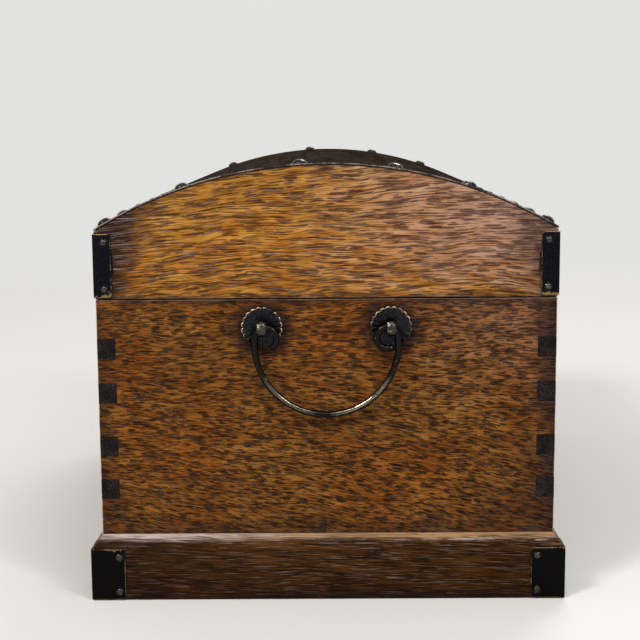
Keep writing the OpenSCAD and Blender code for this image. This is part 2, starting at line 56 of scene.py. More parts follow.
view = Named(
    spot=(0.8158, 0.0018, 0.2293),
    yaw=-0.0076,
    pitch=0.1443,  # downwards
    roll=-0.0075,
    lens=75.76,
    sensor=36,
)


def linked(thing):
    bpy.context.scene.collection.objects.link(thing)
    return thing


def placeCamera():
    yaw, pitch, roll = view.yaw, view.pitch, view.roll
    ahead = Vector((-math.cos(pitch) * math.cos(yaw), math.cos(pitch) * math.sin(yaw), -math.sin(pitch)))
    right = Vector((math.sin(yaw), math.cos(yaw), 0))
    up = right.cross(ahead)
    right, up = (math.cos(roll) * right + math.sin(roll) * up,
                 math.cos(roll) * up - math.sin(roll) * right)
    data = bpy.data.cameras.new("camera")
    data.lens = view.lens
    data.sensor_width = view.sensor
    data.clip_start = 0.01
    data.clip_end = 50
    camera = linked(bpy.data.objects.new("camera", data))
    turn = Matrix((right, up, -ahead)).transposed().to_4x4()
    camera.matrix_world = Matrix.Translation(view.spot) @ turn
    bpy.context.scene.camera = camera


placeCamera()
bpy.context.scene.view_settings.view_transform = "Standard"
print("camera set")


def activate(piece):
    bpy.ops.object.select_all(action="DESELECT")
    piece.select_set(True)
    bpy.context.view_layer.objects.active = piece


def named(name):
    piece = bpy.context.object
    piece.name = name
    piece.data.name = name
    return piece


def added(name):  # what an operator has just made, with its place, turn and size put into its mesh
    activate(bpy.context.object)
    bpy.ops.object.transform_apply(location=True, rotation=True, scale=True)
    return named(name)


def ring(name, middle, radius, sides, fill="NOTHING", acrossX=False):
    bpy.ops.mesh.primitive_circle_add(vertices=sides, radius=radius, fill_type=fill, location=middle,
                                      rotation=(0, math.pi / 2 if acrossX else 0, 0))
    return added(name)


def block(name, corner, opposite):  # a box between any two opposite corners
    low, high = (Vector(map(pick, corner, opposite)) for pick in (min, max))
    bpy.ops.mesh.primitive_cube_add(size=1, location=(low + high) / 2, scale=high - low)
    return added(name)


def nodeBlock(node):  # a box as large as the node
    return block(node + "_worn", *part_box(node))


def rod(name, middle, radius, length, sides):
    bpy.ops.mesh.primitive_cylinder_add(vertices=sides, radius=radius, depth=length, location=middle)
    return added(name)


def editAll(piece):  # edit mode with all of the piece selected
    activate(piece)
    bpy.ops.object.mode_set(mode="EDIT")
    bpy.ops.mesh.select_all(action="SELECT")


def leaveEdit():
    bpy.ops.object.mode_set(mode="OBJECT")


def choose(piece, kind, test):  # edit mode with the edges or corners selected that pass the test
    editAll(piece)
    bpy.ops.mesh.select_mode(type=kind)
    bpy.ops.mesh.select_all(action="DESELECT")
    leaveEdit()
    mesh = piece.data
    if kind == "EDGE":
        for edge in mesh.edges:
            a, b = (mesh.vertices[i].co for i in edge.vertices)
            edge.select = bool(test((a + b) / 2, (b - a).normalized()))
    else:
        for corner in mesh.vertices:
            corner.select = bool(test(corner.co, corner.normal))
    bpy.ops.object.mode_set(mode="EDIT")


def bevelWhere(piece, kind, test, width, segments, slot=-1):
    choose(piece, kind, test)
    bpy.ops.mesh.bevel(offset=width, segments=segments, material=slot,
                       affect="EDGES" if kind == "EDGE" else "VERTICES")
    leaveEdit()


def drawOut(x, y, z):  # extrudes the edges that are selected
    bpy.ops.mesh.extrude_edges_move(TRANSFORM_OT_translate={"value": (x, y, z)})


def widen(share, height=1, middle=(0, 0, 0)):
    bpy.ops.transform.resize(value=(share, share, height), center_override=middle)


def faceOut():  # turns all faces of the piece in edit mode outwards
    bpy.ops.mesh.select_all(action="SELECT")
    bpy.ops.mesh.normals_make_consistent(inside=False)
    leaveEdit()


def discard(piece):
    bpy.data.objects.remove(piece, do_unlink=True)


def modify(piece, kind, **settings):
    activate(piece)
    made = piece.modifiers.new(kind.title(), kind)
    for key, value in settings.items():
        setattr(made, key, value)
    bpy.ops.object.modifier_apply(modifier=made.name)
    return piece


def joined(name, pieces):
    activate(pieces[0])
    for piece in pieces:
        piece.select_set(True)
    if len(pieces) > 1:
        bpy.ops.object.join()
    return named(name)


def carve(piece, boxes):  # takes boxes out of the piece
    cutter = joined("cutter", [block("cutter", low, high) for low, high in boxes])
    modify(piece, "BOOLEAN", object=cutter, operation="DIFFERENCE", solver="EXACT")
    discard(cutter)
    return piece


def trim(piece, point, normal, fill=True):  # cuts away what lies on the normal's side
    editAll(piece)
    bpy.ops.mesh.bisect(plane_co=point, plane_no=normal, use_fill=fill, clear_outer=True, threshold=1e-7)
    leaveEdit()
    return piece


def smooth(piece, angle=35):
    activate(piece)
    bpy.ops.object.shade_smooth_by_angle(angle=math.radians(angle))
    return piece


def soften(piece, width, segments=2, angle=40, edgeSlot=1):  # rounds the edges, in a finish of their own
    modify(piece, "BEVEL", width=width, segments=segments, limit_method="ANGLE",
           angle_limit=math.radians(angle), use_clamp_overlap=False, material=edgeSlot,
           harden_normals=False)


def tidyMesh(piece):
    editAll(piece)
    bpy.ops.mesh.remove_doubles(threshold=2e-6)
    faceOut()
    return piece


def roughen(piece, depth, size, where=None):  # small dents and swellings, as a hand tool leaves
    for corner in piece.data.vertices:
        if where is None or where(corner.co):
            corner.co += corner.normal * depth * noise.noise(corner.co / size)


def copyOf(original, name, spot):  # a copy with its own mesh, at the given matrix
    piece = linked(original.copy())
    piece.data = original.data.copy()
    piece.name = name
    piece.data.transform(spot)
    return piece


def finishPiece(piece, body, node):
    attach(piece, body)
    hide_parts(node)


def tone(red, green, blue):  # a colour as a picture shows it, 0 to 255, in linear light
    return tuple(((c / 255 + 0.055) / 1.055) ** 2.4 if c > 10 else c / 255 / 12.92
                 for c in (red, green, blue)) + (1.0,)


class Value:  # a shader socket that can be worked with like a number
    def __init__(self, paint, socket):
        self.paint = paint
        self.socket = socket

    def maths(self, operation, *others):
        return self.paint.node("ShaderNodeMath", {"operation": operation},
                               dict(enumerate((self, *others))))

    __add__ = __radd__ = partialmethod(maths, "ADD")
    __sub__ = partialmethod(maths, "SUBTRACT")
    __mul__ = __rmul__ = partialmethod(maths, "MULTIPLY")
    __truediv__ = partialmethod(maths, "DIVIDE")
    __abs__ = partialmethod(maths, "ABSOLUTE")
    smaller = partialmethod(maths, "MINIMUM")

    def __rsub__(self, other):
        return (self - other) * -1.0

    def larger(self, *others):
        for other in others:
            self = self.maths("MAXIMUM", other)
        return self

    def fade(self, start, end):  # 0 at start and 1 at end, smoothly, either way round
        return self.paint.node("ShaderNodeMapRange", {"interpolation_type": "SMOOTHSTEP"},
                               {"Value": self, "From Min": start, "From Max": end})


def distance(a, b):  # from an axis, by the two coordinates across it
    return (a * a + b * b).maths("SQRT")


class Nodes:  # an empty node tree in the making
    def __init__(self, tree):
        self.tree = tree
        self.tree.nodes.clear()

    def made(self, kind, settings, sockets):
        made = self.tree.nodes.new(kind)
        for key, value in settings.items():
            setattr(made, key, value)
        for key, value in sockets.items():
            if isinstance(value, Value):
                self.tree.links.new(value.socket, made.inputs[key])
            else:  # a tuple is a colour as a picture shows it
                made.inputs[key].default_value = tone(*value) if isinstance(value, tuple) else value
        return made

    def node(self, kind, settings, sockets, output=0):
        return Value(self, self.made(kind, settings, sockets).outputs[output])

    def outputs(self, kind, names, sockets):
        made = self.made(kind, {}, sockets)
        return [Value(self, made.outputs[name]) for name in names]

    def seenRays(self):  # 1 for what the camera, a shiny surface or glass looks at
        rays = ("Is Camera Ray", "Is Glossy Ray", "Is Transmission Ray")
        camera, shiny, glass = self.outputs("ShaderNodeLightPath", rays, {})
        return camera.larger(shiny, glass)


class Paint(Nodes):  # a material in the making
    def __init__(self, name):
        self.material = bpy.data.materials.new(name)
        self.material.use_nodes = True
        super().__init__(self.material.node_tree)
        self.place = self.node("ShaderNodeVectorMath", {"operation": "SCALE"},
                               {"Vector": self.node("ShaderNodeTexCoord", {}, {}, "Object"),
                                "Scale": 1000.0})  # in millimetres
        self.axes = self.outputs("ShaderNodeSeparateXYZ", "XYZ", {0: self.place})

    def spot(self, place):  # a place is a socket or three numbers
        if isinstance(place, tuple):
            return self.node("ShaderNodeCombineXYZ", {}, dict(enumerate(place)))
        return place

    def noise(self, place, detail=2.0, roughness=0.5, scale=1.0):
        return self.node("ShaderNodeTexNoise", {"noise_dimensions": "3D"},
                         {"Vector": self.spot(place), "Scale": scale, "Detail": detail,
                          "Roughness": roughness})

    def cloud(self, scale, detail=2.0, roughness=0.5):  # noise that runs the same in all directions
        return self.noise(self.place, detail, roughness, scale)

    def cells(self, place, scale=1.0):
        return self.node("ShaderNodeTexVoronoi", {"feature": "F1"},
                         {"Vector": self.spot(place), "Scale": scale}, "Distance")

    def ramp(self, value, stops):
        made = self.made("ShaderNodeValToRGB", {}, {"Fac": value})
        elements = made.color_ramp.elements
        while len(elements) < len(stops):
            elements.new(0.5)
        for element, (position, colour) in zip(elements, stops):
            element.position = position
            element.color = tone(*colour)
        return Value(self, made.outputs[0])

    def blend(self, share, first, second, how="MIX"):
        return self.node("ShaderNodeMix", {"data_type": "RGBA", "blend_type": how},
                         {"Factor": share, 6: first, 7: second}, 2)

    def coats(self, colour, *coats):  # lays coats over a colour, each with its share
        for share, coat in coats:
            colour = self.blend(share, colour, coat)
        return colour

    def bump(self, height, strength, distance):
        return self.node("ShaderNodeBump", {}, {"Height": height, "Strength": strength,
                                                "Distance": distance})

    def shader(self, colour, specular, **sockets):
        named = {key.title(): value for key, value in sockets.items()}
        return self.node("ShaderNodeBsdfPrincipled", {},
                         {"Base Color": colour, **named, "Specular IOR Level": specular})

    def show(self, shader):
        self.made("ShaderNodeOutputMaterial", {}, {"Surface": shader})
        return self.material

    def finish(self, colour, **sockets):
        return self.show(self.shader(colour, **sockets))


eyeY, eyeZ = 30.8, 133.7  # where the handle's eyes are, in millimetres


def woodPaint(name, look, stainAndShade=None, wearAndHighlight=None):
    paint = Paint(name)
    x, y, z = paint.axes
    along, across, through = {"x": (x, z, y), "y": (y, z, x), "flat": (x, y, z)}[look.grain]
    slope = (across - look.level) * look.fan + look.lean  # the grain runs a little out of line
    across = across - slope * along - along * along * look.bow
    along = along + look.shift
    sway = paint.noise((along / 62, across / 34, through / 40)) - 0.5
    waver = paint.noise((along / 20, across / 7, through / 9), 1.0) - 0.5
    bent = across + sway * look.sway + waver * 1.1
    band = paint.noise((along / 170, bent / 9, through / 14), 3.0, 0.6)
    patch = paint.noise((along / 19, bent / 4.6, through / 20), 3.0, 0.6)
    spread = patch - 0.5
    crowd = paint.noise((along / look.cluster, bent / 3.1, through / 6), 3.0, 0.62) - 0.5
    line = paint.noise((along / look.dash, bent / look.fineness, through / 0.5), 0.4)
    dark = (line + crowd * 0.3 - spread * 0.25).fade(look.coverage, look.coverage + 0.07)
    pore = paint.cells((along / (look.dash * 1.9), bent / 0.6, through / 0.8))
    pore = (pore - crowd * 0.7 + (line - 0.5) * 0.3).fade(0.45, 0.31)
    thick = paint.cells((along / look.fleck, bent / look.fleckWidth, through / 2.5))
    thick = (thick - crowd * 0.9 + (line - 0.5) * 0.4).fade(0.44, 0.38)  # the dark dashes
    warm = paint.cloud(0.021).fade(0.45, 0.62)
    colour = paint.ramp(band * 0.35 + patch * 0.65, look.tones)
    colour = paint.blend(warm * look.warmShare, colour, look.warmTone, "MULTIPLY")
    cloudY, fromY, toY, cloudZ, fromZ, toZ = look.glowFrom  # painted sheen: pale and pinkish towards one upper side, as light reflected there, laid under the lines and again thinly over them
    paintedSheen = (y + spread * cloudY).fade(fromY, toY) * (z + spread * cloudZ).fade(fromZ, toZ) * look.glow
    colour = paint.coats(colour, (paintedSheen, look.glowTone), (thick * look.fillShare, look.fillTone),
                         (dark * look.lineDepth, look.lineTone),
                         (pore * look.poreDepth, look.fleckTone),
                         # painted glints: pale thin lines in the dark dashes
                         (thick * line.fade(0.44, 0.38) * look.hazeShare, look.haze),
                         (paintedSheen * look.dustShare, look.dustTone))
    dark = dark.larger(pore)
    # stains, and painted shade where a look's mask lays it, multiplied in; then painted glints along the
    # grain in them
    if stainAndShade:
        streak = paint.noise((along / 22, bent / 0.5, through / 1.2), 1.0)
        share = stainAndShade(paint, paint.cloud(0.045, 4.0, 0.62))
        share = (share + share * (streak - 0.5) * 1.2 + share * spread * 0.8).smaller(1.0).larger(0.0)
        colour = paint.blend(share * 0.8, colour, look.stainTone, "MULTIPLY")
        glint = (streak * 0.7 + line * 0.3).fade(0.555, 0.6)
        colour = paint.coats(colour, (share * 0.86, look.grimeTone),
                             (share * glint * look.glintShare, look.glint))
    # a painted highlight, partly wear, laid over the plinth's sloping top
    if wearAndHighlight:
        share, pale = wearAndHighlight(paint, line)
        colour = paint.blend(share, colour, paint.blend(pale, look.rubTone, look.paleTone))
    ridge = line * 0.4 - dark * 0.8 + patch * 0.3
    return paint.finish(colour, roughness=look.rough + (line - 0.5) * 0.3 + dark * 0.12,
                        normal=paint.bump(ridge, 0.5, 0.00024), specular=0.03)


def lidEndStain(paint, cloud):
    x, y, z = paint.axes
    wild = (cloud - 0.5) * 26
    side = (abs(y) + (z - 165) * 0.25 + wild * 0.6).fade(86, 101) * (1.0 - y.fade(0, 60) * 0.62)
    foot = (z + wild * 0.2).fade(152, 146) * 0.4
    joint = (abs(y) + wild * 0.4).fade(93, 102) * (abs(z - 164) + wild * 0.4).fade(11, 4) * 0.7
    return side.larger(foot, joint)


def bodyEndStainAndShade(paint, cloud):  # darker near the corners, towards the foot and the lower back, just under the joint and round the rosettes; the darkening towards the foot is partly painted shade of light falling off downwards
    x, y, z = paint.axes
    wild = (cloud - 0.5) * 40
    side = (abs(y) + wild).fade(95, 114) * (0.45 + y.fade(-20, 60) * 0.55)
    back = (y - z * 0.55 + wild * 1.6).fade(28, 108) * 0.75
    foot = (z - wild * 0.7).fade(44, 30) * 0.4
    top = (z + wild * 0.3).fade(142, 148) * 0.5
    halo = (distance(abs(y) - eyeY, z - eyeZ) + wild * 0.35).fade(18, 9) * abs(x).fade(174, 176) * 0.85
    return side.larger(back, foot, top, halo)


def longStain(paint, cloud):
    x, y, z = paint.axes
    wild = (cloud - 0.5) * 40
    side = (abs(x) + wild).fade(158, 184)
    foot = (z - wild * 0.8).fade(48, 30)
    halo = (distance(x, z - 147) + wild * 0.5).fade(36, 22) * y.fade(-104, -106) * 0.7
    return side.larger(foot, halo)


# painted shade towards the left end, and darker at the very foot
def plinthFootAndLeftShade(paint, cloud):
    x, y, z = paint.axes
    wild = (cloud - 0.5) * 20
    return ((z - wild).fade(8, -4) * 0.8).larger((y + wild).fade(-20, -100) * 0.24)


def plinthSlopeHighlight(paint, line):  # painted highlight along the plinth's sloping top, partly rubbed bare, palest towards the front, with thin painted white glints along its lower edge in places
    x, y, z = paint.axes
    run = x + y
    wobble = paint.noise((run / 42, z / 6, 0.0), 4.0, 0.6) - 0.5
    chip = paint.noise((run / 12, z / 0.9, x / 9), 2.0, 0.6)
    strip = (z + wobble * 4 + (line - 0.5) * 3).fade(28.4, 31.4)
    front = (y + wobble * 160).fade(20, -90)
    whiteGlint = (z + wobble * 2).fade(27.9, 28.9) * (z + wobble * 2).fade(30.6, 29.2) * chip.fade(0.48, 0.6)
    whiteGlint = whiteGlint * y.fade(10, 60) * abs(x).fade(120, 165)
    share = (strip * (0.74 + front * 0.12 + wobble * 1.6 + (line - 0.5) * 1.4)).larger(whiteGlint * 0.7, 0.0)
    return share * (1.0 - chip.fade(0.62, 0.66) * 0.5), front.larger(whiteGlint)


lidEndLook = Named(
    # the grain's run, in millimetres: its axis, offset, waviness, slope, and how it fans out and bows
    grain="y", shift=370, sway=10, lean=0.035, level=165, fan=0.0012, bow=-0.0003,
    # lengths and widths of the dashes, and how much they cover
    dash=10, fineness=0.36, cluster=11, coverage=0.53, fleck=9, fleckWidth=0.95,
    tones=((0.36, (147, 96, 40)), (0.46, (160, 108, 44)), (0.54, (173, 122, 53)),
           (0.64, (187, 140, 68))),
    warmTone=(255, 216, 172), warmShare=0.25, lineTone=(78, 44, 12), lineDepth=0.66,
    fillTone=(68, 40, 22), fillShare=0.88, fleckTone=(52, 31, 17), poreDepth=0.8,
    # painted glints in the dashes, and stains with painted shade multiplied in
    haze=(156, 128, 116), hazeShare=0.4, stainTone=(104, 84, 86), grimeTone=(31, 22, 23),
    # painted glints in the stains, then the painted sheen over one upper side, the veil it lays over the
    # lines, and where it lies
    glint=(156, 138, 130), glintShare=0.5, glowTone=(184, 146, 124), dustTone=(106, 84, 88),
    dustShare=0.3, rough=0.46, glow=0.85, glowFrom=(110, -30, 112, 90, 136, 186),
)
bodyEndLook = Named(
    lidEndLook, shift=0, lean=0, level=132, fan=0.0019, bow=0, dash=4.4, fineness=0.39, cluster=7.5,
    coverage=0.52, fleck=5, fleckWidth=1.3, warmShare=0.6,
    # painted shade: the body's tones are darker than the lid's, for the light that falls from above; its
    # painted sheen lies towards the upper back
    tones=((0.36, (106, 65, 26)), (0.46, (117, 74, 31)), (0.54, (128, 83, 35)), (0.64, (142, 97, 44))),
    lineTone=(42, 22, 6), fleckTone=(26, 15, 8), fillTone=(44, 26, 12), haze=(100, 82, 66),
    glowTone=(138, 106, 82), glint=(96, 80, 68), glow=0.3, glowFrom=(90, 10, 110, 60, 85, 140))
longLook = Named(bodyEndLook, glow=0, grain="x", shift=90, sway=13, level=90, fan=0, dash=9, cluster=14)
lidLongLook = Named(lidEndLook, glow=0, grain="x", shift=640, lean=0.02, fan=0, dash=16, cluster=16)
plinthEndLook = Named(
    bodyEndLook, glow=0, shift=820, sway=4, lean=-0.03, fan=0, dash=13, cluster=14, fineness=0.34,
    fleck=12, fleckWidth=0.85, lineDepth=0.7,
    tones=((0.34, (55, 31, 11)), (0.46, (63, 37, 13)), (0.56, (71, 43, 17)), (0.66, (81, 50, 22))),
    # the plinth's painted light: pale glints in its dashes and stains, the shade laid with its stains, and
    # the highlight tones of its sloping top
    lineTone=(25, 14, 6), fleckTone=(19, 12, 9), fillTone=(38, 23, 11), fillShare=0.4, haze=(132, 112, 100),
    grimeTone=(18, 13, 11), glint=(104, 88, 78), glintShare=0.2, rubTone=(158, 124, 90),
    paleTone=(184, 167, 160))
plinthLongLook = Named(plinthEndLook, grain="x", shift=240)
flatLook = Named(grain="flat", level=0, fan=0, glow=0)
insideLook = Named(bodyEndLook, **flatLook, shift=510, rough=0.6, dash=12, cluster=16)
staveLook = Named(lidEndLook, **flatLook, shift=70, rough=0.62, dash=18, cluster=20)

lidEndWood = woodPaint("lid_end_wood", lidEndLook, lidEndStain)
bodyEndWood = woodPaint("body_end_wood", bodyEndLook, bodyEndStainAndShade)
longWood = woodPaint("long_board_wood", longLook, longStain)
lidLongWood = woodPaint("lid_rail_wood", lidLongLook, longStain)
plinthEndWood = woodPaint("plinth_end_wood", plinthEndLook, plinthFootAndLeftShade, wearAndHighlight=plinthSlopeHighlight)
plinthLongWood = woodPaint("plinth_long_wood", plinthLongLook, plinthFootAndLeftShade, wearAndHighlight=plinthSlopeHighlight)
bottomWood = woodPaint("bottom_wood", insideLook)
staveWood = woodPaint("stave_wood", staveLook)


def endGrainPaint():  # the cut ends of the fingers: nearly black, speckled with pores
    paint = Paint("end_grain_wood")
    speck = paint.cloud(1.5, 3.0, 0.7)
    pore = paint.cells(paint.place, 1.15).fade(0.42, 0.2)
    ring = paint.cloud(0.16, 3.0, 0.6)
    colour = paint.ramp(speck * 0.7 + ring * 0.3,
                        ((0.38, (11, 8, 8)), (0.5, (24, 19, 19)), (0.64, (60, 52, 52))))
    colour = paint.blend(pore * 0.7, colour, (12, 10, 9))
    return paint.finish(colour, roughness=0.62 + (speck - 0.5) * 0.3, specular=0.05,
                        normal=paint.bump(speck - pore * 0.6, 0.5, 0.0003))


def aboveJoint(x, y, z, wearAndHighlight, grit):  # keeps the line between lid and body dull
    return 1.0 - z.fade(146.2, 146.5) * z.fade(147.3, 147.1) * 0.75


def litSide(x, y, z, wearAndHighlight, grit):  # painted highlight: the rim's rubbed gold shows only on the upper side, where the light falls
    return (z + (wearAndHighlight - 0.5) * 30).fade(eyeZ - 5, eyeZ + 6)


edgeLook = Named(cloud=0.07, grit=0.9, gritShare=0.25, start=0.4, spread=0.16, where=aboveJoint,
                 rough=0.5, roughSpread=0.4, polish=0.0, metal=0.0, bareMetal=0.0, bump=0.4,
                 bumpDepth=0.00025, specular=0.25)
rimLook = Named(edgeLook, cloud=0.13, grit=1.1, gritShare=0.4, spread=0.12, where=None, rough=0.42,
                roughSpread=0.0, polish=0.12, metal=0.4, bareMetal=0.55, bump=0.35, bumpDepth=0.0002,
                specular=0.15)


def wornPaint(name, look, dull, bright):  # rubbed bare in places and grimy in others; on the body's corners and the rosettes' rims the bare coat is partly painted highlight
    paint = Paint(name)
    wearAndHighlight = paint.cloud(look.cloud, 4.0, 0.65)
    grit = paint.cloud(look.grit, 3.0, 0.7)
    share = wearAndHighlight * (1 - look.gritShare) + grit * look.gritShare
    share = share.fade(look.start, look.start + look.spread)
    if look.where:
        share = share * look.where(*paint.axes, wearAndHighlight, grit)
    rough = look.rough + (grit - 0.5) * look.roughSpread - share * look.polish
    return paint.finish(paint.blend(share, dull, bright), roughness=rough,
                        metallic=look.metal + share * look.bareMetal,
                        normal=paint.bump(grit, look.bump, look.bumpDepth),
                        specular=look.specular)


endGrainWood = endGrainPaint()
# the body's edges: their pale coat is partly painted highlight, for light caught along the rounded corners
bodyEdgeWood = wornPaint("body_edge_wood", edgeLook, (60, 43, 32), (172, 148, 124))
lidEdgeWood = wornPaint("lid_edge_wood", edgeLook, (62, 42, 28), (146, 112, 78))
plinthEdgeWood = wornPaint("plinth_edge_wood", edgeLook, (34, 24, 18), (92, 70, 54))


def coverPaint():  # the thin bent skin over the dome: grey-brown and mottled, with no shine of its own; its satin sheen is painted into the lighter mottling
    paint = Paint("cover_wood")
    x, y, z = paint.axes
    bent = y + (paint.noise((x / 70, y / 30, z / 30)) - 0.5) * 9
    band = paint.noise((x / 160, bent / 8, z / 60), 4.0, 0.62)
    fibre = paint.noise((x / 16, bent / 0.6, z / 4), 3.0, 0.65)
    cloud = paint.cloud(0.03, 4.0, 0.65)
    spot = paint.cloud(0.22, 4.0, 0.7)
    fleck = paint.noise((x / 6, bent / 0.9, z / 3), roughness=0.6)
    dark = (fleck + (cloud - 0.5) * 0.4).fade(0.56, 0.66)
    edge = (abs(x) + (spot - 0.5) * 8).fade(172, 181).larger((abs(y) + (spot - 0.5) * 8).fade(104, 111))
    tint = band * 0.4 + cloud * 0.35 + spot * 0.25 + (fibre - 0.5) * 0.3
    colour = paint.ramp(tint, ((0.34, (22, 18, 16)), (0.46, (39, 32, 28)), (0.56, (57, 47, 41)),
                               (0.68, (80, 68, 60))))
    colour = paint.coats(colour, (dark * 0.7, (25, 20, 19)), (edge * 0.55, (34, 27, 24)))
    return paint.finish(colour, roughness=0.62 + (spot - 0.5) * 0.4, specular=0.0,
                        normal=paint.bump(fibre * 0.6 + spot * 0.5 - dark * 0.5, 0.45, 0.0003))


coverWood = coverPaint()
print("wood ready")


def ironPaint(name, look):  # blackened iron with dust, dull spots and rubbed bare places; on the handle's bow, also a painted highlight laid as polish
    paint = Paint(name)
    x, y, z = paint.axes
    cloud = paint.cloud(look.cloud, 4.0, 0.6)
    grit = paint.cloud(1.4, 3.0, 0.7)
    wearAndHighlight = (cloud * 0.8 + grit * 0.2).fade(look.rubFrom, look.rubFrom + 0.1)
    for level, reach in look.wornAt:  # heights where hands and cloths have rubbed the patina off
        wearAndHighlight = wearAndHighlight.larger((abs(z - level) + (cloud - 0.5) * 12 + (grit - 0.5) * 3).fade(reach, reach * 0.4))
    for middle, radius in look.heldAt:  # painted highlight along the inner side of the bow, laid as metal polished where fingers hold it
        reach = distance(y, z - middle) - radius + (cloud - 0.5) * 1.2
        polishAndHighlight = reach.fade(-1.5, -0.9) * reach.fade(0.6, 0.0) * z.fade(112, 104)
        polishAndHighlight = polishAndHighlight * (y + (cloud - 0.5) * 10).fade(0, 12).larger(y.fade(-4, -12) * 0.6)
        wearAndHighlight = wearAndHighlight.larger(polishAndHighlight * (grit + cloud * 0.4).fade(0.5, 0.72))
    colour = paint.blend(grit.fade(0.35, 0.7), look.black, look.grey)
    colour = paint.blend(wearAndHighlight * look.rubShare, colour, look.bare)
    return paint.finish(colour, metallic=look.metal + wearAndHighlight * (1 - look.metal) * look.rubShare,
                        roughness=look.rough + (grit - 0.5) * look.roughSpread - wearAndHighlight * 0.1,
                        normal=paint.bump(grit * 0.7 + cloud * 0.8, look.bump, 0.00025),
                        specular=look.specular)


plateLook = Named(cloud=0.16, rubFrom=0.66, rubShare=0.4, black=(4, 4, 4), grey=(13, 12, 12),
                  bare=(104, 84, 50), metal=0.0, rough=0.38, roughSpread=0.35, bump=0.3,
                  specular=0.035, wornAt=(), heldAt=())
rosetteLook = Named(plateLook, black=(23, 23, 27), grey=(54, 53, 59), metal=1.0, rough=0.3, rubFrom=0.8,
                    bump=0.22, specular=0.3)
wireLook = Named(plateLook, cloud=0.3, rubFrom=0.6, rubShare=0.7, black=(25, 23, 21), grey=(44, 40, 37),
                 bare=(154, 143, 126), metal=1.0, rough=0.14, roughSpread=0.2, bump=0.08, specular=0.5,
                 heldAt=((126.1, 34.2),))
eyeLook = Named(wireLook, heldAt=(), black=(30, 27, 25), grey=(96, 91, 84), bare=(204, 196, 180),
                rough=0.2, rubFrom=0.54, rubShare=0.8, bump=0.5)
nailLook = Named(plateLook, black=(22, 21, 21), grey=(50, 48, 47), metal=0.9, rough=0.22, rubFrom=0.56,
                 rubShare=0.6, bare=(140, 130, 112), specular=0.4)
smallNailLook = Named(nailLook, black=(44, 42, 40), grey=(92, 88, 82), metal=1.0, rough=0.2)
lidPlateLook = Named(plateLook, black=(7, 7, 9), grey=(25, 26, 33), metal=0.35, rough=0.34,
                     bare=(150, 126, 76), rubShare=0.8, rubFrom=0.72, wornAt=((147.5, 2.0),))
plinthPlateLook = Named(plateLook, bare=(150, 122, 70), rubShare=0.7, rubFrom=0.74, wornAt=((26.4, 0.9),))
tongueLook = Named(plateLook, black=(66, 50, 28), grey=(108, 84, 46), bare=(180, 146, 84), metal=0.9,
                   rough=0.32, rubFrom=0.5, rubShare=0.8, specular=0.5)

plateIron = ironPaint("plate_iron", plateLook)
rosetteIron = ironPaint("rosette_iron", rosetteLook)
wireIron = ironPaint("wire_iron", wireLook)
eyeIron = ironPaint("eye_iron", eyeLook)
nailIron = ironPaint("nail_iron", nailLook)
smallNailIron = ironPaint("small_nail_iron", smallNailLook)
lidPlateIron = ironPaint("lid_plate_iron", lidPlateLook)
plinthPlateIron = ironPaint("plinth_plate_iron", plinthPlateLook)
tongueBrass = ironPaint("tongue_brass", tongueLook)
plateRim = wornPaint("plate_rim", Named(rimLook, start=0.46), (24, 21, 18), (150, 126, 84))
rosetteRim = wornPaint("rosette_rim", Named(rimLook, start=0.42, where=litSide), (26, 24, 25),
                       (204, 180, 140))
lockRim = wornPaint("lock_rim", Named(rimLook, start=0.5), (28, 25, 23), (190, 166, 124))
print("metal ready")

endLow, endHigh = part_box("right_end_board")
halfLength, halfDepth, bodyTop = endHigh
bodyFoot = endLow.z
boardThickness = endHigh.x - endLow.x
inX, inY = halfLength - boardThickness, halfDepth - boardThickness  # the inner faces of the boards
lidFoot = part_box("lid_right_end")[0].z
over = 1 * mm  # how far a cutter reaches past a face
near = 0.1 * mm  # how close to a plane counts as on it

board = Named(corner=0.34 * mm, joint=0.12 * mm, staveEdge=0.65 * mm)  # widths of the worn edges


def fingerLevels(node):  # heights where the long board's fingers start and stop
    return sorted({round(v.co.z, 5) for v in nodes[node].data.vertices
                   if abs(v.co.x) > halfLength - 0.05 * mm})


def setSlot(piece, slot, test):  # gives the faces that pass the test another finish
    for face in piece.data.polygons:
        if test(face.center, face.normal):
            face.material_index = slot


def addPaints(piece, *paints):
    piece.data.materials.clear()
    for paint in paints:
        piece.data.materials.append(paint)


def cutAcross(c, n):  # the end boards' fingers, cut across the grain
    return abs(n.y) > 0.9 and abs(c.y) > halfDepth - near


def cutAlong(c, n):  # the long boards' fingers
    return abs(n.x) > 0.9 and abs(c.x) > halfLength - near


def atCorner(co):  # on one of the chest's four upright corners
    return abs(co.x) > halfLength - near and abs(co.y) > halfDepth - near


def atJoint(co):  # on the outer edges where the lid meets the body
    outside = abs(co.x) > halfLength - near or abs(co.y) > halfDepth - near
    return outside and bodyTop - near < co.z < lidFoot + near


def underLid(c, n):  # the lid's lowest rounded edge, in the end grain's near-black, for a dark line at the joint
    return c.z < lidFoot + 0.42 * mm and n.z > -0.95


def notches(levels, sides, ends, startX, startY):  # boxes at the corners, to leave a board its fingers
    return [((x * startX, y * startY, foot), (x * (halfLength + over), y * (halfDepth + over), top))
            for x in sides for y in ends for foot, top in levels]


def woodenBoard(node, piece, body, main, edgeWood, endTest):
    addPaints(piece, main, edgeWood, endGrainWood)
    bevelWhere(piece, "EDGE", lambda c, d: (atCorner(c) and abs(d.z) > 0.9)
               or (atJoint(c) and abs(d.z) < 0.1), board.corner, 3, 1)
    soften(piece, board.joint, 1, angle=50, edgeSlot=-1)
    setSlot(piece, 2, endTest)
    if body == "lid":
        setSlot(piece, 2, underLid)
    smooth(piece)
    finishPiece(piece, body, node)


